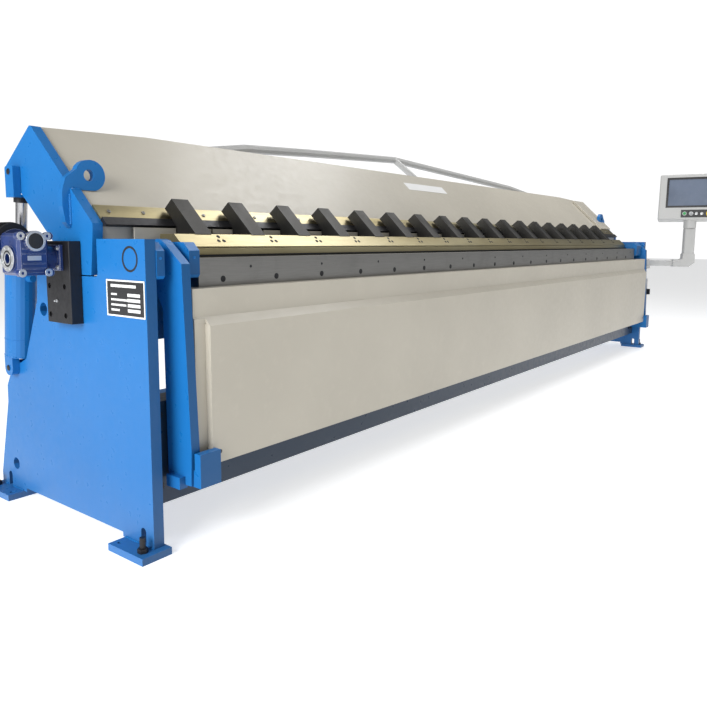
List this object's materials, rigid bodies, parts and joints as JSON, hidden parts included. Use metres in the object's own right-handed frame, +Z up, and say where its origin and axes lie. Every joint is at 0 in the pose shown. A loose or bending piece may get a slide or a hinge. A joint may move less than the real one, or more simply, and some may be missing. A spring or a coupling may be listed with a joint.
{
  "type": "sheet_folding_machine",
  "caption": "Long swing-beam sheet metal folding machine: fixed table, tilting clamping beam with segmented fingers on lift cylinders, hinged folding beam, control pendant.",
  "frame": {"origin": "on the floor, under the front edge of the left side plate, at its outer face", "axes": "+X along the machine to its right end as the operator sees it, +Y from front to back, +Z up"},
  "size_m": [5.6893, 1.4326, 1.4727],
  "materials": {
    "blue_paint": "semi-gloss blue enamel",
    "navy_paint": "dark blue enamel",
    "cream_paint": "semi-gloss warm cream enamel",
    "grey_paint": "fine-textured pale grey powder coat",
    "black_oxide": "black oxide and black enamel",
    "finger_steel": "ground steel, dark",
    "ground_steel": "ground steel, long grinding marks",
    "gilt_steel": "ground steel with a yellow protective film",
    "chrome": "hard chrome",
    "black_plastic": "black moulded plastic",
    "grey_plastic": "grey moulded plastic",
    "green_plastic": "green moulded plastic",
    "red_plastic": "red moulded plastic"
  },
  "bodies": {
    "frame": {"side_plate_left": "blue_paint", "side_plate_right": "blue_paint", "levelling_bolt_front_left": "black_oxide", "levelling_bolt_front_right": "black_oxide", "levelling_bolt_rear_left": "black_oxide", "levelling_bolt_rear_right": "black_oxide", "pivot_block_outer_left": "blue_paint", "pivot_block_outer_right": "blue_paint", "pivot_block_inner_left": "blue_paint", "pivot_block_inner_right": "blue_paint", "table_beam": "blue_paint", "table_blade": "gilt_steel", "front_crossmember": "navy_paint", "rear_crossmember": "blue_paint", "clamp_bearing_left": "black_oxide", "clamp_bearing_right": "black_oxide", "geared_motor": "navy_paint", "hydraulic_unit": "grey_paint", "switch_box": "grey_paint"},
    "clamping_beam": {"end_plate_left": "blue_paint", "end_plate_right": "blue_paint", "lifting_eye_left": "blue_paint", "lifting_eye_right": "blue_paint", "beam_box": "cream_paint", "gilt_rail": "gilt_steel", "black_rail": "black_oxide", "clamp_blade": "gilt_steel", "truss_rod": "grey_paint", "finger_01": "finger_steel", "finger_02": "finger_steel", "finger_03": "finger_steel", "finger_04": "finger_steel", "finger_05": "finger_steel", "finger_06": "finger_steel", "finger_07": "finger_steel", "finger_08": "finger_steel", "finger_09": "finger_steel", "finger_10": "finger_steel", "finger_11": "finger_steel", "finger_12": "finger_steel", "finger_13": "finger_steel", "finger_14": "finger_steel", "finger_15": "finger_steel", "finger_16": "finger_steel", "finger_17": "finger_steel", "finger_18": "finger_steel"},
    "folding_beam": {"fold_arm_left": "blue_paint", "fold_arm_right": "blue_paint", "apron_box": "cream_paint", "apron_blade": "ground_steel"},
    "barrel_left": {"cylinder_barrel_left": "blue_paint"},
    "barrel_right": {"cylinder_barrel_right": "blue_paint"},
    "rod_left": {"cylinder_rod_left": "chrome"},
    "rod_right": {"cylinder_rod_right": "chrome"},
    "switch_knob": {"main_switch": "black_plastic"},
    "pendant_arm": {"pendant_arm": "grey_paint"},
    "pendant": {"pendant": "grey_paint"},
    "start_button": {"start_button": "green_plastic"},
    "stop_button": {"stop_button": "grey_plastic"},
    "emergency_stop": {"emergency_stop": "red_plastic"}
  },
  "joints": [
    {"name": "clamp_tilt", "type": "hinge", "parent": "frame", "child": "clamping_beam", "pos_m": [2.52, 0.385, 0.843], "axis": [-1, 0, 0], "range_deg": [0, 18]},
    {"name": "cylinder_swing_left", "type": "hinge", "parent": "frame", "child": "barrel_left", "pos_m": [0.0175, 0.745, 0.463], "axis": [-1, 0, 0], "range_deg": [0, 6.11]},
    {"name": "cylinder_swing_right", "type": "hinge", "parent": "frame", "child": "barrel_right", "pos_m": [5.0225, 0.745, 0.463], "axis": [-1, 0, 0], "range_deg": [0, 6.11]},
    {"name": "rod_swing_left", "type": "hinge", "parent": "clamping_beam", "child": "rod_left", "pos_m": [0.0175, 0.67, 1.113], "axis": [-1, 0, 0], "range_deg": [-12.09, 0]},
    {"name": "rod_swing_right", "type": "hinge", "parent": "clamping_beam", "child": "rod_right", "pos_m": [5.0225, 0.67, 1.113], "axis": [-1, 0, 0], "range_deg": [-12.09, 0]},
    {"name": "fold_swing", "type": "hinge", "parent": "frame", "child": "folding_beam", "pos_m": [2.52, 0.069, 0.845], "axis": [-1, 0, 0], "range_deg": [0, 120]},
    {"name": "main_switch_turn", "type": "hinge", "parent": "frame", "child": "switch_knob", "pos_m": [5.135, 0, 0.475], "axis": [0, 1, 0], "range_deg": [0, 90]},
    {"name": "pendant_arm_swing", "type": "hinge", "parent": "frame", "child": "pendant_arm", "pos_m": [5.175, 0.03, 0.722], "axis": [0, 0, 1], "range_deg": [-10, 60]},
    {"name": "pendant_turn", "type": "hinge", "parent": "pendant_arm", "child": "pendant", "pos_m": [5.31658, -0.27361, 1.018], "axis": [0, 0, 1], "range_deg": [-40, 40]},
    {"name": "start_button_press", "type": "slide", "parent": "pendant", "child": "start_button", "axis": [0.9698, 0.171, -0.1736], "range_m": [0, 0.004], "stiffness_N_per_m": 900},
    {"name": "stop_button_press", "type": "slide", "parent": "pendant", "child": "stop_button", "axis": [0.9698, 0.171, -0.1736], "range_m": [0, 0.004], "stiffness_N_per_m": 900},
    {"name": "emergency_stop_press", "type": "slide", "parent": "pendant", "child": "emergency_stop", "axis": [0.9698, 0.171, -0.1736], "range_m": [0, 0.006], "stiffness_N_per_m": 1200}
  ],
  "couplings": [
    {"joint": "cylinder_swing_left", "follows": "clamp_tilt", "ratio": 0.3337},
    {"joint": "cylinder_swing_right", "follows": "clamp_tilt", "ratio": 0.3337},
    {"joint": "rod_swing_left", "follows": "clamp_tilt", "ratio": -0.6663},
    {"joint": "rod_swing_right", "follows": "clamp_tilt", "ratio": -0.6663}
  ]
}
